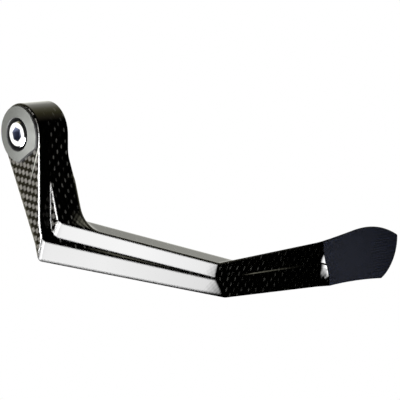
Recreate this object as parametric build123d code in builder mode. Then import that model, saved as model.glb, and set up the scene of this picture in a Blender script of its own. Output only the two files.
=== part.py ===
import os
from math import cos, radians, sin, tan

from build123d import *

# Brake lever guard that bolts to the end of a motorbike handlebar. Millimetres.
# +X runs inboard along the handlebar, +Z from the guard back to the bar axis, and the stepped
# show side faces -Y. The origin is on the bolt axis, at the seat against the bar end.
# In plan a point is given by its run inboard from the guard's outer face and its reach
# forward of the bar axis; a height is measured from the bolt axis towards the show side.

# Eye that sits on the bar end
eye_diameter = 23.5
eye_length = 13.7
bush_diameter = 15.6
bush_clearance = 0.05
bar_diameter = 22.0

# Arm from the eye to the bar
arm_thickness = 16.7
arm_swell = 9.0
arm_round = 12.0
upper_taper = 17.7
lower_taper = 9.6
terrace_blend = 14.0
arm_overlap = 3.0

# Heights of the two-step section
base_height = -4.9
front_height = -3.9
ledge_height = 0.9
ridge_height = 6.3
ridge_flat = 0.9
ridge_edge = 0.3

# Middle bar: where each edge starts, how it slants forward and where it bends
step_depth = 4.9
ridge_reach = 36.4
step_slope = 4.2
lip_reach = 41.4
front_reach = 48.6
back_width = 5.8
ridge_angle = 18.85
lip_angle = 17.7
front_angle = 16.7
ridge_bend = 81.5
lip_bend = 83.3
front_bend = 90.5
back_bend = 94.5

# End bar, nearly parallel to the handlebar, with a flared collar at its end
ridge_end_angle = -1.4
lip_end_angle = 1.2
front_end_angle = 3.0
collar_lead = 1.3
ridge_collar_angle = -6.0
lip_collar_angle = 20.0
front_collar_angle = 5.0
end_run = 143.2
end_slant = 26.6
end_margin = 16.0

# Corners and bends in plan
front_corner = 2.0
lip_corner = 3.5
step_corner = 4.5
ridge_corner = 3.2
back_corner = 9.5
ridge_back_corner = 11.0
bend_round = 5.0
collar_round = 12.0
front_collar_round = 30.0

# Rounded edges of the guard
outer_round = 0.7
base_edge = 0.5

# Moulded tip: its back edge rises straight, then arches to the nose; its front edge runs to the heel
tip_straight = 20.2
tip_rise = 2.4
tip_length = 50.4
tip_nose_drop = 2.2
tip_end_bulge = 3.4
tip_heel_along = 33.4
tip_heel_drop = 1.1
tip_front_hollow = 0.6
tip_draft = 11.0
tip_corner = 1.2
tip_back_height = 5.4
tip_top_height = 9.0
tip_front_wall = 1.0
tip_edge = 0.5
tip_base_edge = 0.3

# Tongue of the tip and the socket it fills
tongue_length = 13.0
tongue_width = 5.2
tongue_height = 3.7
tongue_share = 0.25
tongue_level = -1.35
tongue_clearance = 0.1

# Countersunk screw that holds the tongue, from the underside
screw_diameter = 3.0
screw_head = 5.6
screw_length = 4.7
screw_setback = 6.5
screw_clearance = 0.05
screw_socket = 2.0
screw_socket_depth = 1.0

# Bush, with a crowned flange that covers the eye's outer face
flange_diameter = 22.0
flange_thickness = 1.1
flange_crown = 0.8
flange_flat = 9.1
flange_flat_turn = 15.0
flange_edge = 0.3
counterbore_diameter = 12.6
counterbore_edge = 0.3
bolt_hole = 6.4

# Clamp bolt, socket head
bolt_diameter = 6.0
thread_diameter = 5.35
thread_start = 0.0
bolt_head = 10.0
bolt_head_height = 6.0
bolt_head_edge = 0.5
bolt_head_sink = 0.1
bolt_socket = 5.0
bolt_socket_depth = 3.0
bolt_free_end = 6.5
bolt_end_edge = 0.6

os.makedirs("parts", exist_ok=True)

outer_x = -eye_length
eye_radius = eye_diameter / 2
collar_start = end_run + collar_lead


def plan(run, reach):
    """Point in a plan sketch, whose axes are X and Z."""
    return (outer_x + run, -reach)


def side(reach, height):
    """Point in a side sketch, whose axes are Y and Z."""
    return (-height, -reach)


def slant(run, reach, angle, to_run):
    """Reach of an edge at another run, along its angle to the handlebar."""
    return reach + (to_run - run) * tan(radians(angle))


def edge_line(start_run, start_reach, angle, bend_run, end_angle, collar_angle):
    """Start, bend, collar and far end of one edge of the bar, as run and reach pairs."""
    bend_reach = slant(start_run, start_reach, angle, bend_run)
    collar_reach = slant(bend_run, bend_reach, end_angle, collar_start)
    far_run = collar_start + end_margin
    far_reach = slant(collar_start, collar_reach, collar_angle, far_run)
    start = (start_run, start_reach)
    bend = (bend_run, bend_reach)
    return [start, bend, (collar_start, collar_reach), (far_run, far_reach)]


def space(run, reach, height):
    """Point in space from its run, reach and height."""
    return Vector(outer_x + run, -height, -reach)


def corner(sketch, point):
    """Vertex of a sketch nearest to a plan or side point."""
    return sketch.vertices().sort_by_distance(Vector(*point))[0]


def edges_through(body, points):
    """The edge of a body that each point lies on."""
    return [body.edges().sort_by_distance(point)[0] for point in points]


# Edges of the bar in plan
ridge_line = edge_line(
    step_depth, ridge_reach, ridge_angle, ridge_bend, ridge_end_angle, ridge_collar_angle
)
step_line = edge_line(
    step_depth, ridge_reach + step_slope, ridge_angle, lip_bend, lip_end_angle, lip_collar_angle
)
crest_line = edge_line(
    step_depth + ridge_edge,
    ridge_reach - ridge_edge,
    ridge_angle,
    ridge_bend,
    ridge_end_angle,
    ridge_collar_angle,
)
lip_line = edge_line(0, lip_reach, lip_angle, lip_bend, lip_end_angle, lip_collar_angle)
front_line = edge_line(0, front_reach, front_angle, front_bend, front_end_angle, front_collar_angle)


def between(first, second, share, inset):
    """Edge part of the way from one edge to another, with its start set in from the outer face."""
    points = [
        (run + share * (to_run - run), reach + share * (to_reach - reach))
        for (run, reach), (to_run, to_reach) in zip(first, second)
    ]
    start_run, start_reach = points[0]
    next_run, next_reach = points[1]
    grade = (next_reach - start_reach) / (next_run - start_run)
    return [(start_run + inset, start_reach + grade * inset)] + points[1:]


# Sections of the lower step from its base to its ledge: height, front edge, corner and collar radius
base_line = [(run, reach - base_edge) for run, reach in front_line]
lower_sections = [
    (base_height, between(base_line, base_line, 0, base_edge), front_corner - base_edge, front_collar_round),
    (base_height + base_edge, front_line, front_corner, front_collar_round),
    (front_height, front_line, front_corner, front_collar_round),
]
for turn in (0, 45, 90):
    drop = outer_round * (1 - sin(radians(turn)))
    inset = outer_round * (1 - cos(radians(turn)))
    share = drop / (ledge_height - front_height)
    front = between(lip_line, front_line, share, inset)
    lower_sections.append((ledge_height - drop, front, lip_corner - inset, collar_round))

# Back of the bar: below the ridge it runs on past the ridge's bend
inner_ridge_reach = slant(step_depth, ridge_reach, ridge_angle, arm_thickness) - ridge_flat
inner_back_reach = inner_ridge_reach + ridge_flat - back_width
ridge_back = [(run, reach - ridge_flat) for run, reach in ridge_line[1:]]
ridge_back[0] = (ridge_bend, slant(arm_thickness, inner_ridge_reach, ridge_angle, ridge_bend))
back_line = [
    (back_bend, slant(ridge_bend, ridge_line[1][1], ridge_end_angle, back_bend) - ridge_flat),
    ridge_back[1],
    ridge_back[2],
]

# Inboard side of the arm: level with the seat at the eye, thicker once it is clear of the bar end
arm_clear_reach = bar_diameter / 2
arm_full_reach = arm_clear_reach + arm_swell

# Slanted plane where the guard ends and the tip begins
end_point = plan(end_run, ridge_line[2][1])
end_plane = Plane(
    origin=(end_point[0], 0, end_point[1]),
    x_dir=(sin(radians(end_slant)), 0, -cos(radians(end_slant))),
    z_dir=(cos(radians(end_slant)), 0, sin(radians(end_slant))),
)

# Arm profile in side view: two tangents to the eye
upper_tangent = (eye_radius * sin(radians(upper_taper)), eye_radius * cos(radians(upper_taper)))
lower_tangent = (eye_radius * sin(radians(lower_taper)), -eye_radius * cos(radians(lower_taper)))
terrace_reach = (eye_radius - ledge_height * cos(radians(upper_taper))) / sin(radians(upper_taper))
under_reach = (eye_radius + base_height * cos(radians(lower_taper))) / sin(radians(lower_taper))
arm_end_reach = lip_reach - arm_overlap


def joint(edge):
    """Plan point where the collar of an edge crosses the slanted plane."""
    rise = tan(radians(end_slant))
    (run, reach), (far_run, far_reach) = edge[-2:]
    grade = (far_reach - reach) / (far_run - run)
    start = end_run + rise * (reach - grade * run - ridge_line[2][1])
    joint_run = start / (1 - rise * grade)
    return (joint_run, reach + grade * (joint_run - run))


# Where the bar's back and front edges meet the tip
joint_back = joint(ridge_back[:2])
joint_front = joint(front_line)

# Top plane of the tip, which falls from its back edge to the low wall at its heel
tip_fall = tip_back_height - base_height - tip_front_wall
tip_plane = Plane(
    origin=space(end_run, joint_back[1], tip_back_height),
    x_dir=(1, 0, 0),
    z_dir=(0, joint_back[1] - joint_front[1] - tip_heel_drop, -tip_fall),
)

# Tongue and screw
tongue_reach = joint_back[1] + tongue_share * (joint_front[1] - joint_back[1])
tongue_run = end_run + (tongue_reach - ridge_line[2][1]) * tan(radians(end_slant))
tongue_tip_run = tongue_run - tongue_length
screw_run = tongue_run - screw_setback
screw_head_height = (screw_head - screw_diameter) / 2

with BuildPart() as guard_body:
    # Eye and arm: tapered between its tangents, with the upper terrace easing into the bar's ledge
    with BuildSketch(Plane.YZ.offset(outer_x)) as arm_side:
        Circle(eye_radius)
        with BuildLine():
            Polyline(
                side(0, 0),
                side(*upper_tangent),
                side(terrace_reach, ledge_height),
                side(arm_end_reach, ledge_height),
                side(under_reach, base_height),
                side(*lower_tangent),
                close=True,
            )
        make_face()
        fillet(corner(arm_side, side(terrace_reach, ledge_height)), terrace_blend)
    extrude(amount=arm_thickness)
    fillet(edges_through(guard_body, [space(0, -eye_radius, 0)]), outer_round)
    with BuildSketch(Plane.XZ) as arm_plan:
        with BuildLine():
            Polyline(
                plan(0, -eye_radius),
                plan(eye_length, -eye_radius),
                plan(eye_length, arm_clear_reach),
                plan(arm_thickness, arm_full_reach),
                plan(arm_thickness, front_reach),
                plan(0, front_reach),
                close=True,
            )
        make_face()
        fillet(corner(arm_plan, plan(eye_length, arm_clear_reach)), arm_round)
        fillet(corner(arm_plan, plan(arm_thickness, arm_full_reach)), arm_round)
    extrude(amount=eye_diameter, both=True, mode=Mode.INTERSECT)
    # Lower step of the bar, up to its ledge, with the arm's rounded outer edge carried on in facets
    for height, front, radius, collar_radius in lower_sections:
        with BuildSketch(Plane.XZ.offset(height)) as outline:
            with BuildLine():
                Polyline(
                    *[plan(*point) for point in front],
                    *[plan(*point) for point in reversed(back_line)],
                    plan(arm_thickness, inner_back_reach),
                    plan(arm_thickness, inner_back_reach - back_corner),
                    plan(front[0][0], inner_back_reach - back_corner),
                    close=True,
                )
            make_face()
            for point, size in zip(front, (radius, bend_round, collar_radius)):
                fillet(corner(outline, plan(*point)), size)
            fillet(corner(outline, plan(arm_thickness, inner_back_reach)), back_corner)
    loft(ruled=True)
    # Upper step, from the ledge to the ridge, whose front edge is broken
    for height, front, back, inner, start_round, back_round in (
        (ledge_height, step_line, back_line, inner_back_reach, step_corner, back_corner),
        (
            ridge_height - ridge_edge,
            ridge_line,
            ridge_back,
            inner_ridge_reach,
            ridge_corner,
            ridge_back_corner,
        ),
        (ridge_height, crest_line, ridge_back, inner_ridge_reach, ridge_corner, ridge_back_corner),
    ):
        with BuildSketch(Plane.XZ.offset(height)) as outline:
            with BuildLine():
                Polyline(
                    *[plan(*point) for point in front],
                    *[plan(*point) for point in reversed(back)],
                    plan(arm_thickness, inner),
                    plan(arm_thickness, arm_full_reach),
                    plan(eye_length, arm_clear_reach),
                    plan(step_depth, arm_clear_reach),
                    close=True,
                )
            make_face()
            for point, radius in zip(front, (start_round, bend_round, collar_round)):
                fillet(corner(outline, plan(*point)), radius)
            fillet(corner(outline, plan(arm_thickness, inner)), back_round)
            fillet(corner(outline, plan(arm_thickness, arm_full_reach)), arm_round)
    loft(ruled=True)

    # The bar ends at the slanted plane
    split(bisect_by=end_plane, keep=Keep.BOTTOM)
    # Bore for the bush
    with BuildSketch(Plane.YZ.offset(outer_x)):
        Circle(bush_diameter / 2 + bush_clearance)
    extrude(amount=eye_length, mode=Mode.SUBTRACT)
    # Socket for the tongue
    with BuildSketch(Plane.XZ.offset(tongue_level - tongue_height / 2 - tongue_clearance)):
        with BuildLine():
            Polyline(
                plan(tongue_tip_run - tongue_clearance, tongue_reach - tongue_width / 2 - tongue_clearance),
                plan(tongue_run + end_margin, tongue_reach - tongue_width / 2 - tongue_clearance),
                plan(tongue_run + end_margin, tongue_reach + tongue_width / 2 + tongue_clearance),
                plan(tongue_tip_run - tongue_clearance, tongue_reach + tongue_width / 2 + tongue_clearance),
                close=True,
            )
        make_face()
    extrude(amount=tongue_height + 2 * tongue_clearance, mode=Mode.SUBTRACT)
    # Countersunk hole for the screw
    with BuildSketch(Plane.XZ.offset(base_height)):
        with Locations(plan(screw_run, tongue_reach)):
            Circle(screw_diameter / 2 + screw_clearance)
    extrude(amount=tongue_level - base_height, mode=Mode.SUBTRACT)
    with BuildSketch(Plane.XZ.offset(base_height)):
        with Locations(plan(screw_run, tongue_reach)):
            Circle(screw_head / 2 + screw_clearance)
    extrude(amount=screw_head_height, taper=45, mode=Mode.SUBTRACT)

guard_body.part.label = "guard_body"
export_step(guard_body.part, "parts/guard_body.step")

with BuildPart() as tip:
    # Wedge: outline with draft at its back and end, sliced by a plane that falls to the front
    for height in (base_height, tip_top_height):
        inset = (tip_back_height - height) * tan(radians(tip_draft))
        start = Vector(*plan(*joint_back))
        crown = Vector(*plan(joint_back[0] + tip_straight, joint_back[1] - tip_rise + inset))
        nose = plan(joint_back[0] + tip_length - inset / 2, joint_back[1] + tip_nose_drop + inset)
        heel = plan(joint_front[0] + tip_heel_along, joint_front[1] + tip_heel_drop)
        with BuildSketch(Plane.XZ.offset(height)) as tip_plan:
            with BuildLine():
                Line(start, crown)
                TangentArc(crown, nose, tangent=crown - start)
                SagittaArc(nose, heel, tip_end_bulge)
                SagittaArc(heel, plan(*joint_front), -tip_front_hollow)
                Line(plan(*joint_front), start)
            make_face()
            fillet(corner(tip_plan, nose), tip_corner)
            fillet(corner(tip_plan, heel), tip_corner)
    loft(ruled=True)
    split(bisect_by=tip_plane, keep=Keep.BOTTOM)
    # Broken rims, on the top and the base but not at the joint
    for level, edge_size in ((tip_back_height, tip_edge), (base_height, tip_base_edge)):
        face_point = space(tongue_run + tip_straight, tongue_reach, level)
        rim = tip.faces().sort_by_distance(face_point)[0].edges()
        free = [edge for edge in rim if abs(end_plane.to_local_coords(edge.center()).Z) > tip_edge]
        chamfer(free, edge_size)
    # Tongue
    with BuildSketch(Plane.XZ.offset(tongue_level - tongue_height / 2)):
        with BuildLine():
            Polyline(
                plan(tongue_tip_run, tongue_reach - tongue_width / 2),
                plan(tongue_run + tongue_width, tongue_reach - tongue_width / 2),
                plan(tongue_run + tongue_width, tongue_reach + tongue_width / 2),
                plan(tongue_tip_run, tongue_reach + tongue_width / 2),
                close=True,
            )
        make_face()
    extrude(amount=tongue_height)
    with BuildSketch(Plane.XZ.offset(base_height)):
        with Locations(plan(screw_run, tongue_reach)):
            Circle(screw_diameter / 2 + screw_clearance)
    extrude(amount=screw_length + screw_clearance, mode=Mode.SUBTRACT)

tip.part.label = "tip"
export_step(tip.part, "parts/tip.step")

with BuildPart() as tip_screw:
    # Countersunk screw with a hex socket, flush with the underside
    with BuildSketch(Plane.XZ.offset(base_height)):
        with Locations(plan(screw_run, tongue_reach)):
            Circle(screw_diameter / 2)
    extrude(amount=screw_length)
    with BuildSketch(Plane.XZ.offset(base_height)):
        with Locations(plan(screw_run, tongue_reach)):
            Circle(screw_head / 2)
    extrude(amount=screw_head_height, taper=45)
    with BuildSketch(Plane.XZ.offset(base_height)):
        with Locations(plan(screw_run, tongue_reach)):
            RegularPolygon(screw_socket / 2, 6, major_radius=False)
    extrude(amount=screw_socket_depth, mode=Mode.SUBTRACT)

tip_screw.part.label = "tip_screw"
export_step(tip_screw.part, "parts/tip_screw.step")

# Bush and bolt, along the bolt axis
flange_x = outer_x - flange_thickness
crown_x = flange_x - flange_crown
head_x = crown_x + bolt_head_sink
seat_x = head_x + bolt_head_height

with BuildPart() as bar_end_bush:
    # Turned profile: crowned flange, sleeve through the eye, counterbore for the bolt head
    with BuildSketch(Plane.XY) as bush_half:
        with BuildLine():
            Polyline(
                (0, bolt_hole / 2),
                (0, bush_diameter / 2),
                (outer_x, bush_diameter / 2),
                (outer_x, flange_diameter / 2),
                (flange_x, flange_diameter / 2),
                (crown_x, counterbore_diameter / 2),
                (seat_x, counterbore_diameter / 2),
                (seat_x, bolt_hole / 2),
                close=True,
            )
        make_face()
        chamfer(corner(bush_half, (flange_x, flange_diameter / 2)), flange_edge)
        chamfer(corner(bush_half, (crown_x, counterbore_diameter / 2)), counterbore_edge)
    revolve(axis=Axis.X)
    # Flat on the flange, over the root of the arm
    with BuildSketch(Plane.YZ.offset(outer_x)):
        with Locations(Rotation(0, 0, -flange_flat_turn)):
            with Locations((0, -flange_flat - flange_diameter / 2)):
                Rectangle(2 * flange_diameter, flange_diameter)
    extrude(amount=-flange_thickness - flange_crown, mode=Mode.SUBTRACT)

bar_end_bush.part.label = "bar_end_bush"
export_step(bar_end_bush.part, "parts/bar_end_bush.step")

with BuildPart() as clamp_bolt:
    # Socket-head bolt: head in the counterbore, free thread past the seat
    with BuildSketch(Plane.XY) as bolt_half:
        with BuildLine():
            Polyline(
                (head_x, 0),
                (head_x, bolt_head / 2),
                (seat_x, bolt_head / 2),
                (seat_x, bolt_diameter / 2),
                (thread_start, bolt_diameter / 2),
                (thread_start, thread_diameter / 2),
                (bolt_free_end, thread_diameter / 2),
                (bolt_free_end, 0),
                close=True,
            )
        make_face()
        chamfer(corner(bolt_half, (head_x, bolt_head / 2)), bolt_head_edge)
        chamfer(corner(bolt_half, (bolt_free_end, thread_diameter / 2)), bolt_end_edge)
    revolve(axis=Axis.X)
    with BuildSketch(Plane.YZ.offset(head_x)):
        RegularPolygon(bolt_socket / 2, 6, major_radius=False, rotation=30)
    extrude(amount=bolt_socket_depth, mode=Mode.SUBTRACT)

clamp_bolt.part.label = "clamp_bolt"
export_step(clamp_bolt.part, "parts/clamp_bolt.step")
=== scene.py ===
"""Looks, light and camera for a brake lever guard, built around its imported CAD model."""

from __future__ import annotations

import logging
import math
from dataclasses import dataclass

import bpy
from mathutils import Matrix, Vector


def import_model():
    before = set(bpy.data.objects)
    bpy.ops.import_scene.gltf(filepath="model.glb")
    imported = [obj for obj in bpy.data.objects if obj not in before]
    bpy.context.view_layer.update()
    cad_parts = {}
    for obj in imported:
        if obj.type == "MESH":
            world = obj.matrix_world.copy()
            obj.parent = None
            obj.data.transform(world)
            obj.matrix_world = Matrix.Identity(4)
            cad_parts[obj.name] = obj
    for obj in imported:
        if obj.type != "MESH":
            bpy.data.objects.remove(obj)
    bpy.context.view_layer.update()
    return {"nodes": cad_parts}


log = logging.getLogger("guard")

Tree = bpy.types.NodeTree
Socket = bpy.types.NodeSocket
Pair = tuple[float, float]
Point = tuple[float, float, float]

MM = 0.001
FULL_TURN = 2 * math.pi
WHITE = (1.0, 1.0, 1.0, 1.0)

# Sockets of a Mix node that is set to mix colours
SHARE, FROM, TO, MIXED = 0, 6, 7, 2

# What the light panels and the wall cards share, in metres and degrees
ARM_MIDDLE = (0.0, 0.0, -0.03)
OLIVE = "#f4f2d8"
WALL_TURN_DEG = (90.0, 0.0, 38.3)
WALL_SLANT = (0.345, 0.273, 1.0)
WALL_ALONG = (0.785, 0.62, 0.0)
WALL_BACK = (-0.785, -0.62, 0.0)


def linear(hex_colour: str) -> tuple[float, float, float, float]:
    """Turns an sRGB hex colour into linear RGBA.

    Args:
        hex_colour: Colour as "#rrggbb".

    Returns:
        Linear red, green and blue, with alpha 1.
    """
    parts = [int(hex_colour[i : i + 2], 16) / 255 for i in (1, 3, 5)]
    made = [c / 12.92 if c <= 0.04045 else ((c + 0.055) / 1.055) ** 2.4 for c in parts]
    return (made[0], made[1], made[2], 1.0)


def add(
    tree: Tree, kind: str, inputs: dict[str | int, object] | None = None, **settings: object
) -> bpy.types.Node:
    """Adds one node, with its settings, its values and its links.

    Args:
        tree: Node tree that gets the node.
        kind: Blender's type name of the node.
        inputs: For each input, by name or index: a value, a socket, or a node for its first socket.
        settings: Properties of the node.

    Returns:
        The new node.
    """
    made = tree.nodes.new(kind)
    for name, value in settings.items():
        setattr(made, name, value)
    for key, value in (inputs or {}).items():
        if isinstance(value, bpy.types.Node):
            value = value.outputs[0]
        if isinstance(value, bpy.types.NodeSocket):
            tree.links.new(value, made.inputs[key])
        else:
            made.inputs[key].default_value = value
    return made


def blank(name: str) -> tuple[bpy.types.Material, Tree]:
    """Makes a material with an empty node tree.

    Args:
        name: Name of the material.

    Returns:
        The material and its tree.
    """
    material = bpy.data.materials.new(name)
    material.use_nodes = True
    material.node_tree.nodes.clear()
    return material, material.node_tree


@dataclass(frozen=True)
class CarbonFinish:
    """Twill-woven carbon laminate under a thick clear coat, laid up in a polished mould.

    The weave is painted in two copies by facing. Where the cut faces look outboard it is the lit
    copy, grey tows on black; on the stepped faces it is a copy in painted shade, black with painted
    glints of single tows. Mirror-sharp reflections from the coat lie over it all.
    """

    # Tows of the lit copy of the weave, on the outboard faces
    tow: str = "#8a8783"
    # Painted glints of single tows on the stepped faces
    glint: str = "#7c7c78"
    # Resin between the tows, which also fills the stepped faces as painted shade
    resin_and_painted_shade: str = "#040403"
    # Painted highlight line on the arm's outer side
    painted_edge_highlight: str = "#f0f0e8"
    # Outboard faces, lit copy: width of a tow, length of a pick, and the picks a tow floats over
    side_limit: float = 0.75
    across_mm: float = 2.0
    along_mm: float = 1.15
    turn_deg: float = 8.5
    float_picks: float = 2.0
    repeat_picks: float = 3.0
    tow_edge: float = 0.2
    float_edge_picks: Pair = (0.02, 0.42)
    tow_levels: Pair = (0.75, 1.0)
    # Single fibres are far too fine to show, so their streaks are drawn this coarse
    fibre_mm: float = 0.22
    fibre_levels: Pair = (0.8, 1.1)
    # Stepped faces: lattice and size of the painted glints, and where along X they start and fade
    glint_turn: float = -0.1
    lattice_mm: tuple[Pair, Pair] = ((4.3, 0.6), (2.4, 2.4))
    glint_across_mm: float = 0.4
    glint_along_mm: float = 0.85
    glint_edge: Pair = (1.2, 0.5)
    glint_start_mm: Pair = (-9.5, -8.0)
    glint_fade_mm: Pair = (75.0, 115.0)
    glint_levels: Pair = (0.9, 0.15)
    # The weave prints through the coat
    relief_mm: float = 0.0012
    relief_pitch_mm: float = 2.2
    # Rounding of the edges, and the shares of it at both ends of a span of Z, X and Y
    edge_mm: float = 1.5
    edge_samples: int = 12
    edge_eye_mm: Pair = (-10.0, -17.0)
    edge_eye_shares: Pair = (0.2, 1.0)
    edge_end_mm: Pair = (90.0, 83.0)
    edge_end_shares: Pair = (0.2, 1.0)
    edge_front_mm: Pair = (2.0, 3.5)
    edge_front_shares: Pair = (1.0, 1.8)
    # Painted highlight line on the arm's outer side, from its bright end, in Y and Z
    highlight_start_mm: Pair = (-10.0, -6.5)
    highlight_end_mm: Pair = (0.9, -20.0)
    highlight_width_mm: float = 0.2

    def weave(self, tree: Tree, across: Socket, along: Socket) -> Socket:
        """Draws the twill on two coordinates in millimetres.

        Args:
            tree: Node tree of the material.
            across: Coordinate across the tows.
            along: Coordinate along the tows.

        Returns:
            Socket with 1 on the crown of a tow and 0 between tows.
        """
        point = add(tree, "ShaderNodeCombineXYZ", {"X": across, "Y": along})
        turned = add(
            tree,
            "ShaderNodeVectorRotate",
            {"Vector": point, "Angle": math.radians(self.turn_deg)},
            rotation_type="Z_AXIS",
        )
        split = add(tree, "ShaderNodeSeparateXYZ", {0: turned}).outputs
        column = add(
            tree, "ShaderNodeMath", {0: split["X"], 1: self.across_mm}, operation="DIVIDE"
        )
        pick = add(tree, "ShaderNodeMath", {0: split["Y"], 1: self.along_mm}, operation="DIVIDE")
        index = add(tree, "ShaderNodeMath", {0: column}, operation="FLOOR")
        inside = add(tree, "ShaderNodeMath", {0: column}, operation="FRACT")
        shifted = add(tree, "ShaderNodeMath", {0: pick, 1: index}, operation="SUBTRACT")
        place = add(
            tree, "ShaderNodeMath", {0: shifted, 1: self.repeat_picks}, operation="FLOORED_MODULO"
        )
        half_tow = 0.5
        crown = add(tree, "ShaderNodeMath", {0: inside, 1: half_tow}, operation="SUBTRACT")
        crown = add(tree, "ShaderNodeMath", {0: crown}, operation="ABSOLUTE")
        crown = add(
            tree,
            "ShaderNodeMapRange",
            {"Value": crown, "From Min": half_tow, "From Max": half_tow - self.tow_edge},
            interpolation_type="SMOOTHSTEP",
        )
        half_float = self.float_picks / 2
        outer, inner = self.float_edge_picks
        length = add(tree, "ShaderNodeMath", {0: place, 1: half_float}, operation="SUBTRACT")
        length = add(tree, "ShaderNodeMath", {0: length}, operation="ABSOLUTE")
        length = add(
            tree,
            "ShaderNodeMapRange",
            {"Value": length, "From Min": half_float - outer, "From Max": half_float - inner},
            interpolation_type="SMOOTHSTEP",
        )
        tow = add(tree, "ShaderNodeMath", {0: crown, 1: length}, operation="MULTIPLY")
        repeat = add(
            tree, "ShaderNodeMath", {0: shifted, 1: self.repeat_picks}, operation="DIVIDE"
        )
        repeat = add(tree, "ShaderNodeMath", {0: repeat}, operation="FLOOR")
        cell = add(tree, "ShaderNodeCombineXYZ", {"X": index, "Y": repeat})
        chance = add(tree, "ShaderNodeTexWhiteNoise", {"Vector": cell}, noise_dimensions="3D")
        low, high = self.tow_levels
        level = add(
            tree,
            "ShaderNodeMapRange",
            {"Value": chance.outputs["Value"], "To Min": low, "To Max": high},
        )
        return add(tree, "ShaderNodeMath", {0: tow, 1: level}, operation="MULTIPLY").outputs[0]

    def glints(self, tree: Tree, point: Socket) -> Socket:
        """Paints highlights on the single tows that would catch light on the stepped faces.

        Args:
            tree: Node tree of the material.
            point: Place on the face in millimetres, as X and Y of a vector.

        Returns:
            Socket with up to 1 on a glint and 0 elsewhere.
        """
        (first_x, first_y), (second_x, second_y) = self.lattice_mm
        area = first_x * second_y - second_x * first_y
        to_first = (second_y / area, -second_x / area, 0.0)
        to_second = (-first_y / area, first_x / area, 0.0)
        first = add(
            tree, "ShaderNodeVectorMath", {0: point, 1: to_first}, operation="DOT_PRODUCT"
        )
        second = add(
            tree, "ShaderNodeVectorMath", {0: point, 1: to_second}, operation="DOT_PRODUCT"
        )
        cell = add(
            tree,
            "ShaderNodeCombineXYZ",
            {"X": first.outputs["Value"], "Y": second.outputs["Value"]},
        )
        half_cell = (0.5, 0.5, 0.0)
        nearest = add(tree, "ShaderNodeVectorMath", {0: cell, 1: half_cell}, operation="ADD")
        nearest = add(tree, "ShaderNodeVectorMath", {0: nearest}, operation="FLOOR")
        offset = add(tree, "ShaderNodeVectorMath", {0: cell, 1: nearest}, operation="SUBTRACT")
        widths = (first_x / self.glint_across_mm, second_x / self.glint_across_mm, 0.0)
        lengths = (first_y / self.glint_along_mm, second_y / self.glint_along_mm, 0.0)
        across = add(
            tree, "ShaderNodeVectorMath", {0: offset, 1: widths}, operation="DOT_PRODUCT"
        )
        along = add(
            tree, "ShaderNodeVectorMath", {0: offset, 1: lengths}, operation="DOT_PRODUCT"
        )
        spot = add(
            tree,
            "ShaderNodeCombineXYZ",
            {"X": across.outputs["Value"], "Y": along.outputs["Value"]},
        )
        away = add(tree, "ShaderNodeVectorMath", {0: spot}, operation="LENGTH")
        outer, inner = self.glint_edge
        spot = add(
            tree,
            "ShaderNodeMapRange",
            {"Value": away.outputs["Value"], "From Min": outer, "From Max": inner},
            interpolation_type="SMOOTHSTEP",
        )
        chance = add(tree, "ShaderNodeTexWhiteNoise", {"Vector": nearest}, noise_dimensions="3D")
        bright = add(
            tree, "ShaderNodeMath", {0: spot, 1: chance.outputs["Value"]}, operation="MULTIPLY"
        )
        return bright.outputs[0]

    def painted_highlight_line(self, tree: Tree, point: Socket) -> Socket:
        """Paints a highlight line across the outer side of the arm.

        Args:
            tree: Node tree of the material.
            point: Place in millimetres, with Y and Z of the guard as X and Y of a vector.

        Returns:
            Socket with 1 on the line and 0 off it.
        """
        start = Vector((*self.highlight_start_mm, 0.0))
        run = Vector((*self.highlight_end_mm, 0.0)) - start
        along = run.normalized()
        across = Vector((-along.y, along.x, 0.0))
        offset = add(tree, "ShaderNodeVectorMath", {0: point, 1: start}, operation="SUBTRACT")
        beside = add(
            tree, "ShaderNodeVectorMath", {0: offset, 1: across}, operation="DOT_PRODUCT"
        )
        beside = add(tree, "ShaderNodeMath", {0: beside.outputs["Value"]}, operation="ABSOLUTE")
        thin = add(
            tree,
            "ShaderNodeMapRange",
            {"Value": beside, "From Min": 2 * self.highlight_width_mm, "From Max": self.highlight_width_mm},
        )
        reach = add(tree, "ShaderNodeVectorMath", {0: offset, 1: along}, operation="DOT_PRODUCT")
        fade = add(
            tree,
            "ShaderNodeMapRange",
            {"Value": reach.outputs["Value"], "From Min": run.length, "From Max": 0.0},
        )
        return add(tree, "ShaderNodeMath", {0: thin, 1: fade}, operation="MULTIPLY").outputs[0]

    def side_colour(self, tree: Tree, place: bpy.types.Node, axes: bpy.types.NodeOutputs) -> Socket:
        """Colours the outboard faces: twill with streaks of fibres, and a painted highlight line.

        Args:
            tree: Node tree of the material.
            place: Node with the place in millimetres.
            axes: X, Y and Z of that place.

        Returns:
            Socket with the colour.
        """
        outboard = add(tree, "ShaderNodeCombineXYZ", {"X": axes["Y"], "Y": axes["Z"]})
        twill = self.weave(tree, axes["Y"], axes["Z"])
        fibres = add(
            tree,
            "ShaderNodeTexNoise",
            {"Vector": place, "Scale": 1 / self.fibre_mm, "Detail": 2.0},
        )
        low, high = self.fibre_levels
        grain = add(tree, "ShaderNodeMapRange", {"Value": fibres, "To Min": low, "To Max": high})
        shade = add(tree, "ShaderNodeMath", {0: twill, 1: grain}, operation="MULTIPLY")
        tows = add(
            tree,
            "ShaderNodeMix",
            {SHARE: shade, FROM: linear(self.resin_and_painted_shade), TO: linear(self.tow)},
            data_type="RGBA",
        )
        # Painted highlight line over the weave
        line = self.painted_highlight_line(tree, outboard.outputs[0])
        tows = add(
            tree,
            "ShaderNodeMix",
            {SHARE: line, FROM: tows.outputs[MIXED], TO: linear(self.painted_edge_highlight)},
            data_type="RGBA",
        )
        return tows.outputs[MIXED]

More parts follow.
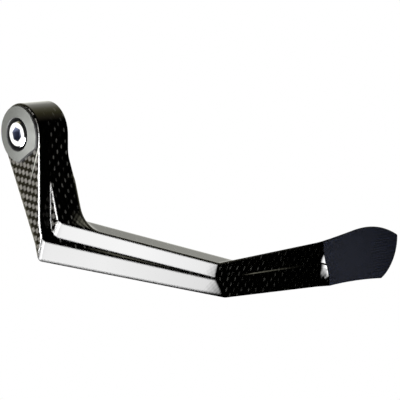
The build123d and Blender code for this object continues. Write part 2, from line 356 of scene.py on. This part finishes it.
    def step_colour(
        self, tree: Tree, normal: Socket, axes: bpy.types.NodeOutputs, stepped: Socket
    ) -> Socket:
        """Paints the stepped faces in shade: black, with painted glints that fade along the bar.

        Args:
            tree: Node tree of the material.
            normal: Normal of the face.
            axes: X, Y and Z of the place in millimetres.
            stepped: Place on the face in millimetres, as X and Y of a vector.

        Returns:
            Socket with the colour.
        """
        turned = add(tree, "ShaderNodeSeparateXYZ", {0: normal}).outputs["X"]
        level = add(
            tree, "ShaderNodeMath", {0: turned, 1: self.glint_turn}, operation="GREATER_THAN"
        )
        glints = self.glints(tree, stepped)
        level = add(tree, "ShaderNodeMath", {0: level, 1: glints}, operation="MULTIPLY")
        # The painted glints fade along X, and are kept off the arm's outermost stepped face
        for (start, end), (low, high) in (
            (self.glint_fade_mm, self.glint_levels),
            (self.glint_start_mm, (0.0, 1.0)),
        ):
            share = add(
                tree,
                "ShaderNodeMapRange",
                {
                    "Value": axes["X"],
                    "From Min": start,
                    "From Max": end,
                    "To Min": low,
                    "To Max": high,
                },
            )
            level = add(tree, "ShaderNodeMath", {0: level, 1: share}, operation="MULTIPLY")
        # Stepped faces painted black as shade, with the painted glints on top
        painted_shade_and_glints = add(
            tree,
            "ShaderNodeMix",
            {SHARE: level, FROM: linear(self.resin_and_painted_shade), TO: linear(self.glint)},
            data_type="RGBA",
        )
        return painted_shade_and_glints.outputs[MIXED]

    def edge_radius(self, tree: Tree, axes: bpy.types.NodeOutputs) -> Socket:
        """Sets how round the edges are: crisp at the eye and the end bar, rounder in front.

        Args:
            tree: Node tree of the material.
            axes: X, Y and Z of the place in millimetres.

        Returns:
            Socket with the radius in metres.
        """
        radius = add(tree, "ShaderNodeValue")
        radius.outputs[0].default_value = self.edge_mm * MM
        for axis, (start, end), (low, high) in (
            ("Z", self.edge_eye_mm, self.edge_eye_shares),
            ("X", self.edge_end_mm, self.edge_end_shares),
            ("Y", self.edge_front_mm, self.edge_front_shares),
        ):
            share = add(
                tree,
                "ShaderNodeMapRange",
                {
                    "Value": axes[axis],
                    "From Min": start,
                    "From Max": end,
                    "To Min": low,
                    "To Max": high,
                },
            )
            radius = add(tree, "ShaderNodeMath", {0: radius, 1: share}, operation="MULTIPLY")
        return radius.outputs[0]

    def coat_normal(
        self, tree: Tree, axes: bpy.types.NodeOutputs, stepped: Socket, side: bpy.types.Node
    ) -> Socket:
        """Shapes the coat: rounded edges, and on the stepped faces a shallow relief of the weave.

        Args:
            tree: Node tree of the material.
            axes: X, Y and Z of the place in millimetres.
            stepped: Place on the face in millimetres, as X and Y of a vector.
            side: Node with 1 on the outboard faces, which have no relief, and 0 elsewhere.

        Returns:
            Socket with the normal.
        """
        waves = add(
            tree,
            "ShaderNodeVectorMath",
            {0: stepped, "Scale": FULL_TURN / self.relief_pitch_mm},
            operation="SCALE",
        )
        waves = add(tree, "ShaderNodeVectorMath", {0: waves}, operation="SINE")
        waves = add(tree, "ShaderNodeSeparateXYZ", {0: waves}).outputs
        relief = add(tree, "ShaderNodeMath", {0: waves["X"], 1: waves["Y"]}, operation="MULTIPLY")
        relief = add(tree, "ShaderNodeMix", {"Factor": side, "A": relief, "B": 0.0})
        soft = add(
            tree,
            "ShaderNodeBevel",
            {"Radius": self.edge_radius(tree, axes)},
            samples=self.edge_samples,
        )
        bump = add(
            tree,
            "ShaderNodeBump",
            {"Height": relief, "Strength": 1.0, "Distance": self.relief_mm * MM, "Normal": soft},
        )
        return bump.outputs[0]

    def material(self) -> bpy.types.Material:
        """Builds the material, with the weave laid square on each face of the guard.

        Returns:
            The material.
        """
        material, tree = blank("clear_coated_carbon_twill")
        coords = add(tree, "ShaderNodeTexCoord").outputs["Object"]
        place = add(tree, "ShaderNodeVectorMath", {0: coords, "Scale": 1 / MM}, operation="SCALE")
        axes = add(tree, "ShaderNodeSeparateXYZ", {0: place}).outputs
        normal = add(tree, "ShaderNodeNewGeometry").outputs["True Normal"]
        size = add(tree, "ShaderNodeVectorMath", {0: normal}, operation="ABSOLUTE")
        faced = add(tree, "ShaderNodeSeparateXYZ", {0: size}).outputs
        flat = add(
            tree, "ShaderNodeMath", {0: faced["Y"], 1: faced["Z"]}, operation="GREATER_THAN"
        )
        # Outboard faces get the lit copy of the weave, all other faces the copy in painted shade
        side = add(
            tree, "ShaderNodeMath", {0: faced["X"], 1: self.side_limit}, operation="GREATER_THAN"
        )
        down = add(tree, "ShaderNodeMath", {0: axes["Z"], 1: -1.0}, operation="MULTIPLY")
        forward = add(tree, "ShaderNodeMix", {"Factor": flat, "A": axes["Y"], "B": down})
        stepped = add(tree, "ShaderNodeCombineXYZ", {"X": axes["X"], "Y": forward}).outputs[0]
        tows = self.side_colour(tree, place, axes)
        painted_shade_and_glints = self.step_colour(tree, normal, axes, stepped)
        colour = add(
            tree, "ShaderNodeMix", {SHARE: side, FROM: painted_shade_and_glints, TO: tows}, data_type="RGBA"
        )
        coat = self.coat_normal(tree, axes, stepped, side)
        shader = add(
            tree,
            "ShaderNodeBsdfPrincipled",
            {
                "Base Color": colour.outputs[MIXED],
                "Roughness": 0.4,
                "Specular IOR Level": 0.0,
                "IOR": 1.5,
                "Normal": coat,
                "Coat Weight": 1.0,
                "Coat Roughness": 0.03,
                "Coat IOR": 1.6,
                "Coat Normal": coat,
            },
        )
        add(tree, "ShaderNodeOutputMaterial", {"Surface": shader})
        return material


@dataclass(frozen=True)
class BushFinish:
    """Aluminium bush with a bare, turned, crowned face.

    The eye sees a satin grey ring with faint turning marks; the walls and the bore are painted
    black as shade.
    """

    bare: str = "#4e4f4d"
    bare_dark: str = "#464745"
    # Painted shade on the walls and the bore
    painted_shade_black: str = "#0b0b0c"
    face_x_mm: float = -14.7
    face_turn: float = -0.85
    # Real turning marks are finer than this, and are drawn coarser to show close up
    groove_mm: float = 0.35
    groove_depth_mm: float = 0.01
    cloud_per_mm: float = 0.35
    roughness: Pair = (0.55, 0.68)

    def material(self) -> bpy.types.Material:
        """Builds the material; the bare metal lies where a face looks outboard, and the other faces
        are painted black as shade.

        Returns:
            The material.
        """
        material, tree = blank("bush_bare_face_painted_shade")
        coords = add(tree, "ShaderNodeTexCoord").outputs["Object"]
        place = add(tree, "ShaderNodeVectorMath", {0: coords, "Scale": 1 / MM}, operation="SCALE")
        axes = add(tree, "ShaderNodeSeparateXYZ", {0: place}).outputs
        radial = add(tree, "ShaderNodeCombineXYZ", {"Y": axes["Y"], "Z": axes["Z"]})
        radius = add(tree, "ShaderNodeVectorMath", {0: radial}, operation="LENGTH")
        wave = add(
            tree,
            "ShaderNodeMath",
            {0: radius.outputs["Value"], 1: FULL_TURN / self.groove_mm},
            operation="MULTIPLY",
        )
        wave = add(tree, "ShaderNodeMath", {0: wave}, operation="SINE")
        normal = add(tree, "ShaderNodeNewGeometry").outputs["True Normal"]
        faced = add(tree, "ShaderNodeSeparateXYZ", {0: normal}).outputs
        outboard = add(
            tree, "ShaderNodeMath", {0: faced["X"], 1: self.face_turn}, operation="LESS_THAN"
        )
        outer = add(
            tree, "ShaderNodeMath", {0: axes["X"], 1: self.face_x_mm}, operation="LESS_THAN"
        )
        face = add(tree, "ShaderNodeMath", {0: outboard, 1: outer}, operation="MULTIPLY")
        cloud = add(
            tree,
            "ShaderNodeTexNoise",
            {"Vector": place, "Scale": self.cloud_per_mm, "Detail": 3.0},
        )
        bare = add(
            tree,
            "ShaderNodeMix",
            {SHARE: cloud, FROM: linear(self.bare), TO: linear(self.bare_dark)},
            data_type="RGBA",
        )
        # Faces other than the outboard face get painted shade, black and not metal
        colour = add(
            tree,
            "ShaderNodeMix",
            {SHARE: face, FROM: linear(self.painted_shade_black), TO: bare.outputs[MIXED]},
            data_type="RGBA",
        )
        low, high = self.roughness
        rough = add(tree, "ShaderNodeMapRange", {"Value": cloud, "To Min": low, "To Max": high})
        bump = add(
            tree,
            "ShaderNodeBump",
            {"Height": wave, "Strength": 0.12, "Distance": self.groove_depth_mm * MM},
        )
        shader = add(
            tree,
            "ShaderNodeBsdfPrincipled",
            {
                "Base Color": colour.outputs[MIXED],
                "Metallic": face,
                "Roughness": rough,
                "Normal": bump,
            },
        )
        add(tree, "ShaderNodeOutputMaterial", {"Surface": shader})
        return material


@dataclass(frozen=True)
class SteelFinish:
    """Plated steel fastener, with a faint mottle from the plating bath.

    The eye sees a smooth bright or dark metal. The walls and the floor of the bolt's key socket are
    painted dark as shade, and made fully rough.
    """

    name: str
    colour: str
    worn: str
    roughness: float
    mottle_mm: float = 0.8
    mottle_shares: Pair = (0.8, 1.2)
    # Painted shade for the walls and the floor of the bolt's key socket
    socket: str = "#646a80"
    socket_radius_mm: float = 2.95
    socket_x_mm: Pair = (-15.45, -12.0)

    def in_socket(self, tree: Tree, place: Socket) -> bpy.types.Node:
        """Finds the bolt's key socket.

        Args:
            tree: Node tree of the material.
            place: Place in metres.

        Returns:
            Node with 1 in the socket and 0 elsewhere.
        """
        axes = add(tree, "ShaderNodeSeparateXYZ", {0: place}).outputs
        radial = add(tree, "ShaderNodeCombineXYZ", {"Y": axes["Y"], "Z": axes["Z"]})
        radius = add(tree, "ShaderNodeVectorMath", {0: radial}, operation="LENGTH")
        inside = add(
            tree,
            "ShaderNodeMath",
            {0: radius.outputs["Value"], 1: self.socket_radius_mm * MM},
            operation="LESS_THAN",
        )
        for limit, side in zip(self.socket_x_mm, ("GREATER_THAN", "LESS_THAN")):
            beyond = add(tree, "ShaderNodeMath", {0: axes["X"], 1: limit * MM}, operation=side)
            inside = add(tree, "ShaderNodeMath", {0: inside, 1: beyond}, operation="MULTIPLY")
        return inside

    def material(self) -> bpy.types.Material:
        """Builds the material, bright outside, with painted shade in the socket.

        Returns:
            The material.
        """
        material, tree = blank(self.name)
        place = add(tree, "ShaderNodeTexCoord").outputs["Object"]
        mottle = add(
            tree,
            "ShaderNodeTexNoise",
            {"Vector": place, "Scale": 1 / (self.mottle_mm * MM), "Detail": 3.0},
        )
        plated = add(
            tree,
            "ShaderNodeMix",
            {SHARE: mottle, FROM: linear(self.colour), TO: linear(self.worn)},
            data_type="RGBA",
        )
        inside = self.in_socket(tree, place)
        # The key socket gets the painted shade in place of the plated colour
        colour = add(
            tree,
            "ShaderNodeMix",
            {SHARE: inside, FROM: plated.outputs[MIXED], TO: linear(self.socket)},
            data_type="RGBA",
        )
        low, high = (self.roughness * share for share in self.mottle_shares)
        rough = add(tree, "ShaderNodeMapRange", {"Value": mottle, "To Min": low, "To Max": high})
        rough = add(tree, "ShaderNodeMath", {0: rough, 1: inside}, operation="MAXIMUM")
        shader = add(
            tree,
            "ShaderNodeBsdfPrincipled",
            {"Base Color": colour.outputs[MIXED], "Metallic": 1.0, "Roughness": rough},
        )
        add(tree, "ShaderNodeOutputMaterial", {"Surface": shader})
        return material


@dataclass(frozen=True)
class TipFinish:
    """Injection-moulded nylon, blue-black, with a fine spark-eroded grain and ribs at its end.

    The eye sees a dull, dark blue sheen. Towards the end, lighter lines are painted as highlights
    on the ribs.
    """

    colour: str = "#131829"
    # Lighter tone for the grain's random tone, and for the painted highlights on the ribs
    light: str = "#1b2237"
    # The real grain is finer than this, and is drawn coarser to show close up
    grain_mm: float = 0.35
    relief_mm: float = 0.05
    rib_mm: float = 1.2
    rib_start_mm: float = 160.0
    rib_run_in_mm: float = 8.0
    rib_painted_highlight: float = 0.5

    def material(self) -> bpy.types.Material:
        """Builds the material, with its ribs across Z.

        Returns:
            The material.
        """
        material, tree = blank("moulded_nylon_blue_black")
        coords = add(tree, "ShaderNodeTexCoord").outputs["Object"]
        place = add(tree, "ShaderNodeVectorMath", {0: coords, "Scale": 1 / MM}, operation="SCALE")
        axes = add(tree, "ShaderNodeSeparateXYZ", {0: place}).outputs
        grain = add(
            tree,
            "ShaderNodeTexNoise",
            {"Vector": place, "Scale": 1 / self.grain_mm, "Detail": 2.0},
        )
        ribs = add(
            tree, "ShaderNodeMath", {0: axes["Z"], 1: FULL_TURN / self.rib_mm}, operation="MULTIPLY"
        )
        ribs = add(tree, "ShaderNodeMath", {0: ribs}, operation="SINE")
        full = self.rib_start_mm + self.rib_run_in_mm
        end = add(
            tree,
            "ShaderNodeMapRange",
            {"Value": axes["X"], "From Min": self.rib_start_mm, "From Max": full},
            interpolation_type="SMOOTHSTEP",
        )
        ribs = add(tree, "ShaderNodeMath", {0: ribs, 1: end}, operation="MULTIPLY")
        height = add(tree, "ShaderNodeMath", {0: ribs, 1: grain}, operation="ADD")
        # Painted highlight and shade on the ribs, over the grain's random tone
        shade = add(
            tree,
            "ShaderNodeMath",
            {0: ribs, 1: self.rib_painted_highlight, 2: grain},
            operation="MULTIPLY_ADD",
        )
        colour = add(
            tree,
            "ShaderNodeMix",
            {SHARE: shade, FROM: linear(self.colour), TO: linear(self.light)},
            data_type="RGBA",
        )
        bump = add(
            tree,
            "ShaderNodeBump",
            {"Height": height, "Strength": 0.3, "Distance": self.relief_mm * MM},
        )
        shader = add(
            tree,
            "ShaderNodeBsdfPrincipled",
            {
                "Base Color": colour.outputs[MIXED],
                "Roughness": 0.4,
                "Specular IOR Level": 0.2,
                "Normal": bump,
            },
        )
        add(tree, "ShaderNodeOutputMaterial", {"Surface": shader})
        return material


@dataclass
class Guard:
    """The guard itself: its CAD nodes, each with its finish."""

    body: CarbonFinish = CarbonFinish()
    bush: BushFinish = BushFinish()
    bolt: SteelFinish = SteelFinish("bright_zinc_steel", "#e6e7ea", "#d6d7da", 0.12)
    tip: TipFinish = TipFinish()
    screw: SteelFinish = SteelFinish("black_oxide_steel", "#2a2a2b", "#3a3a3a", 0.4)

    def dress(self, nodes: dict[str, bpy.types.Object]) -> None:
        """Gives each CAD node its finish and leaves its mesh as it is.

        Args:
            nodes: CAD nodes by name.
        """
        finishes = {
            "guard_body": self.body,
            "bar_end_bush": self.bush,
            "clamp_bolt": self.bolt,
            "tip": self.tip,
            "tip_screw": self.screw,
        }
        for name, finish in finishes.items():
            node = nodes[name]
            node.data.materials.clear()
            node.data.materials.append(finish.material())
            log.info("dressed %s with %s", name, node.data.materials[0].name)


@dataclass(frozen=True)
class Panel:
    """One light panel: its middle, the point that it faces, its width and height, its brightness.

    White paper in plain light has a radiance of 1. A gridded panel shows only to what lies near
    its axis.
    """

    name: str
    place: Point
    aim: Point
    size: Pair
    radiance: float
    gloss_only: bool = True
    grid_deg: float = 180.0

    def build(self) -> None:
        """Adds the panel as an area lamp that the camera doesn't see."""
        lamp = bpy.data.lights.new(self.name, "AREA")
        lamp.shape = "RECTANGLE"
        lamp.size, lamp.size_y = self.size
        lamp.spread = math.radians(self.grid_deg)
        # A narrower spread keeps the lamp's power, so the power comes down with it.
        share = 1.0 - lamp.spread / 2 / math.tan(lamp.spread / 2)
        lamp.energy = self.radiance * math.pi * lamp.size * lamp.size_y * share
        box = bpy.data.objects.new(self.name, lamp)
        bpy.context.scene.collection.objects.link(box)
        box.location = self.place
        facing = Vector(self.aim) - Vector(self.place)
        box.rotation_euler = facing.to_track_quat("-Z", "Y").to_euler()
        box.visible_camera = False
        box.visible_diffuse = not self.gloss_only


@dataclass(frozen=True)
class Edge:
    """One straight, soft edge of a glow: dark and full light as two distances along a direction."""

    toward: Point
    dark: float
    full: float


@dataclass(frozen=True)
class GlowCard:
    """A black card that glows inside straight soft edges, and that only the gloss shows.

    White paper in plain light has a radiance of 1.
    """

    name: str
    place: Point
    turn_deg: Point
    size: Pair
    colour: str
    radiance: float
    edges: tuple[Edge, ...]

    def glow(self) -> bpy.types.Material:
        """Makes the glow, which fades at each of its edges.

        Returns:
            The material.
        """
        material, tree = blank(self.name)
        place = add(tree, "ShaderNodeTexCoord").outputs["Object"]
        level = add(tree, "ShaderNodeValue")
        level.outputs[0].default_value = self.radiance
        for edge in self.edges:
            along = add(
                tree, "ShaderNodeVectorMath", {0: place, 1: edge.toward}, operation="DOT_PRODUCT"
            )
            inside = add(
                tree,
                "ShaderNodeMapRange",
                {"Value": along.outputs["Value"], "From Min": edge.dark, "From Max": edge.full},
            )
            level = add(tree, "ShaderNodeMath", {0: level, 1: inside}, operation="MULTIPLY")
        light = add(tree, "ShaderNodeEmission", {"Color": linear(self.colour), "Strength": level})
        add(tree, "ShaderNodeOutputMaterial", {"Surface": light})
        material.cycles.emission_sampling = "NONE"
        return material

    def build(self) -> None:
        """Lays the card and gives it its glow."""
        bpy.ops.object.select_all(action="DESELECT")
        turn = tuple(math.radians(angle) for angle in self.turn_deg)
        bpy.ops.mesh.primitive_plane_add(size=1.0, location=self.place, rotation=turn)
        card = bpy.context.object
        card.name = self.name
        card.scale = (*self.size, 1.0)
        bpy.ops.object.transform_apply(location=True, rotation=True, scale=True)
        card.data.materials.append(self.glow())
        card.visible_camera = False
        card.visible_shadow = False
        card.visible_diffuse = False


@dataclass
class Studio:
    """White floor and surroundings, with light panels, and with cards that only the gloss shows."""

    floor_z: float = -0.2
    floor_size: float = 40.0
    paper: str = "#f4f4f2"
    # The floor is plain white far from this place, and keeps some shadow near it
    shadow_place: Point = (0.08, 0.0, 0.0)
    white_from: float = 0.12
    white_to: float = 0.5
    white_levels: Pair = (0.72, 1.0)
    soft_level: float = 0.22
    # Reflected surroundings, from the camera's side to behind the guard
    tent_level: float = 1.4
    tent_axis: Point = (0.62, 0.73, 0.29)
    tent_stops: tuple[tuple[float, str], ...] = (
        (0.0, "#020202"),
        (0.14, "#5c5648"),
        (0.365, "#85815f"),
        (0.58, "#b3b096"),
        (0.75, "#d5d4c7"),
        (0.84, "#dddcd2"),
        (0.93, "#fffff6"),
    )
    panels: tuple[Panel, ...] = (
        Panel("key_left", (-0.52, 0.31, 0.09), ARM_MIDDLE, (0.26, 0.26), 8.0, gloss_only=False),
        Panel("fill_left", (-0.59, -0.07, 0.1), ARM_MIDDLE, (0.26, 0.26), 8.0, gloss_only=False),
        Panel("edge_panel", (-0.477, 0.154, -0.05), ARM_MIDDLE, (0.24, 0.16), 46.0),
        Panel("step_edge_panel", (-0.412, -0.035, -0.065), ARM_MIDDLE, (0.14, 0.1), 25.0),
        Panel("bolt_panel", (-0.195, 0.238, 0.0388), (-0.0155, 0.0, 0.0), (0.03, 0.0275), 1.7),
        Panel("corner_panel", (-0.19, 0.035, -0.1955), (-0.19, 0.035, 0.0), (0.26, 0.33), 14.0),
        Panel(
            "collar_panel",
            (0.2215, -0.0935, -0.194),
            (0.155, 0.0, -0.07),
            (0.05, 0.055),
            26.0,
            grid_deg=24.0,
        ),
        Panel(
            "collar_top_panel",
            (0.2175, -0.0815, -0.1945),
            (0.145, 0.0, -0.068),
            (0.03, 0.02),
            23.0,
            grid_deg=22.0,
        ),
    )
    cards: tuple[GlowCard, ...] = (
        GlowCard(
            "black_table_lit_patch",
            (0.0, 0.0, -0.196),
            (0.0, 0.0, 0.0),
            (40.0, 40.0),
            "#ffffff",
            14.2,
            (
                Edge((-0.686, 1.0, 0.0), -0.137, -0.131),
                Edge((-0.109, -1.0, 0.0), -0.0115, -0.0085),
                Edge((-1.0, -0.376, 0.0), -0.119, -0.107),
                Edge((1.0, 0.0, 0.0), -0.118, -0.112),
                Edge((0.0, 1.0, 0.0), -0.121, -0.115),
                Edge((-1.0, 0.0, 0.0), -0.325, -0.075),
                Edge((0.0, -1.0, 0.0), -0.7, 0.06),
            ),
        ),
        GlowCard(
            "olive_wall_card",
            (0.2254, -0.211, -0.045),
            WALL_TURN_DEG,
            (0.2, 0.12),
            OLIVE,
            2.0,
            (
                Edge(WALL_SLANT, -0.014, -0.023),
                Edge(WALL_SLANT, -0.05, -0.042),
                Edge(WALL_ALONG, 0.004, 0.022),
                Edge(WALL_BACK, -0.12, -0.105),
            ),
        ),
        GlowCard(
            "olive_corner_card",
            (0.18795, -0.23958, -0.0159),
            WALL_TURN_DEG,
            (0.014, 0.02),
            OLIVE,
            3.0,
            (
                Edge(WALL_SLANT, -0.013, -0.0185),
                Edge(WALL_SLANT, -0.0225, -0.019),
                Edge(WALL_ALONG, -0.0055, 0.003),
            ),
        ),
    )

    def floor_paper(self) -> bpy.types.Material:
        """Makes the floor's paper: white to the eye, shadowed near the guard, open from below.

        Returns:
            The material.
        """
        material, tree = blank("white_paper_floor")
        place = add(tree, "ShaderNodeTexCoord").outputs["Object"]
        level_part = (1.0, 1.0, 0.0)
        flat = add(tree, "ShaderNodeVectorMath", {0: place, 1: level_part}, operation="MULTIPLY")
        centred = add(
            tree, "ShaderNodeVectorMath", {0: flat, 1: self.shadow_place}, operation="SUBTRACT"
        )
        away = add(tree, "ShaderNodeVectorMath", {0: centred}, operation="LENGTH")
        near, far = self.white_levels
        white_share = add(
            tree,
            "ShaderNodeMapRange",
            {
                "Value": away.outputs["Value"],
                "From Min": self.white_from,
                "From Max": self.white_to,
                "To Min": near,
                "To Max": far,
            },
            interpolation_type="SMOOTHSTEP",
        )
        path = add(tree, "ShaderNodeLightPath").outputs
        seen = add(
            tree,
            "ShaderNodeMath",
            {0: path["Is Camera Ray"], 1: path["Is Glossy Ray"]},
            operation="MAXIMUM",
        )
        seen = add(
            tree, "ShaderNodeMath", {0: seen, 1: path["Is Transmission Ray"]}, operation="MAXIMUM"
        )
        share = add(tree, "ShaderNodeMath", {0: seen, 1: white_share}, operation="MULTIPLY")
        paper = add(tree, "ShaderNodeBsdfDiffuse", {"Color": linear(self.paper)})
        white = add(tree, "ShaderNodeEmission", {"Color": WHITE, "Strength": 1.0})
        lit = add(tree, "ShaderNodeMixShader", {0: share, 1: paper, 2: white})
        below = add(tree, "ShaderNodeNewGeometry").outputs["Backfacing"]
        open_below = add(tree, "ShaderNodeBsdfTransparent")
        both = add(tree, "ShaderNodeMixShader", {0: below, 1: lit, 2: open_below})
        add(tree, "ShaderNodeOutputMaterial", {"Surface": both})
        return material

    def floor(self) -> None:
        """Lays the floor and its paper."""
        bpy.ops.object.select_all(action="DESELECT")
        bpy.ops.mesh.primitive_plane_add(size=self.floor_size, location=(0, 0, self.floor_z))
        floor = bpy.context.object
        floor.name = "floor"
        bpy.ops.object.transform_apply(location=True, rotation=True, scale=True)
        floor.data.materials.append(self.floor_paper())
        log.info("floor at %.3f m", self.floor_z)

    def world(self) -> None:
        """Surrounds the guard: white to the eye, and in reflections bright behind it."""
        world = bpy.data.worlds.new("studio")
        bpy.context.scene.world = world
        world.use_nodes = True
        tree = world.node_tree
        tree.nodes.clear()
        direction = add(tree, "ShaderNodeTexCoord").outputs["Generated"]
        behind = add(
            tree,
            "ShaderNodeVectorMath",
            {0: direction, 1: Vector(self.tent_axis).normalized()},
            operation="DOT_PRODUCT",
        )
        tent = add(tree, "ShaderNodeValToRGB", {0: behind.outputs["Value"]})
        while len(tent.color_ramp.elements) < len(self.tent_stops):
            tent.color_ramp.elements.new(1.0)
        for element, (position, colour) in zip(tent.color_ramp.elements, self.tent_stops):
            element.position = position
            element.color = linear(colour)
        path = add(tree, "ShaderNodeLightPath").outputs
        mirrored = add(
            tree,
            "ShaderNodeMath",
            {0: path["Is Glossy Ray"], 1: path["Is Transmission Ray"]},
            operation="MAXIMUM",
        )
        soft = add(tree, "ShaderNodeBackground", {"Color": WHITE, "Strength": self.soft_level})
        shown = add(tree, "ShaderNodeBackground", {"Color": tent, "Strength": self.tent_level})
        plain = add(tree, "ShaderNodeBackground", {"Color": WHITE, "Strength": 1.0})
        lit = add(tree, "ShaderNodeMixShader", {0: mirrored, 1: soft, 2: shown})
        sky = add(tree, "ShaderNodeMixShader", {0: path["Is Camera Ray"], 1: lit, 2: plain})
        add(tree, "ShaderNodeOutputWorld", {"Surface": sky})

    def build(self) -> None:
        """Builds the floor, the surroundings, the cards and the light panels."""
        self.floor()
        self.world()
        for card in self.cards:
            card.build()
            log.info("card %s", card.name)
        for panel in self.panels:
            panel.build()
            log.info("panel %s", panel.name)
        bpy.context.scene.view_settings.view_transform = "Standard"


@dataclass(frozen=True)
class View:
    """Camera that was fitted to the photograph's edges."""

    place: Point = (-0.43346, -0.55450, -0.08286)
    right: Point = (0.73427, -0.64950, -0.19748)
    up: Point = (0.10413, -0.17970, 0.97820)
    back: Point = (-0.67082, -0.73882, -0.06432)
    focal_px: float = 1830.74
    image_px: float = 400.0
    sensor_mm: float = 36.0
    clip: Pair = (0.01, 100.0)

    def build(self) -> None:
        """Makes the camera and hands it to the scene."""
        data = bpy.data.cameras.new("photo_view")
        data.sensor_width = self.sensor_mm
        data.lens = self.focal_px / self.image_px * self.sensor_mm
        data.clip_start, data.clip_end = self.clip
        camera = bpy.data.objects.new("photo_view", data)
        bpy.context.scene.collection.objects.link(camera)
        turn = Matrix((self.right, self.up, self.back)).transposed().to_4x4()
        camera.matrix_world = Matrix.Translation(self.place) @ turn
        bpy.context.scene.camera = camera
        log.info("camera with a lens of %.1f mm", data.lens)


def main() -> None:
    """Loads the frame, dresses the guard and builds the studio round it."""
    logging.basicConfig(level=logging.INFO, format="%(name)s: %(message)s")
    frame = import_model()
    Guard().dress(frame["nodes"])
    Studio().build()
    View().build()


if __name__ == "__main__":
    main()
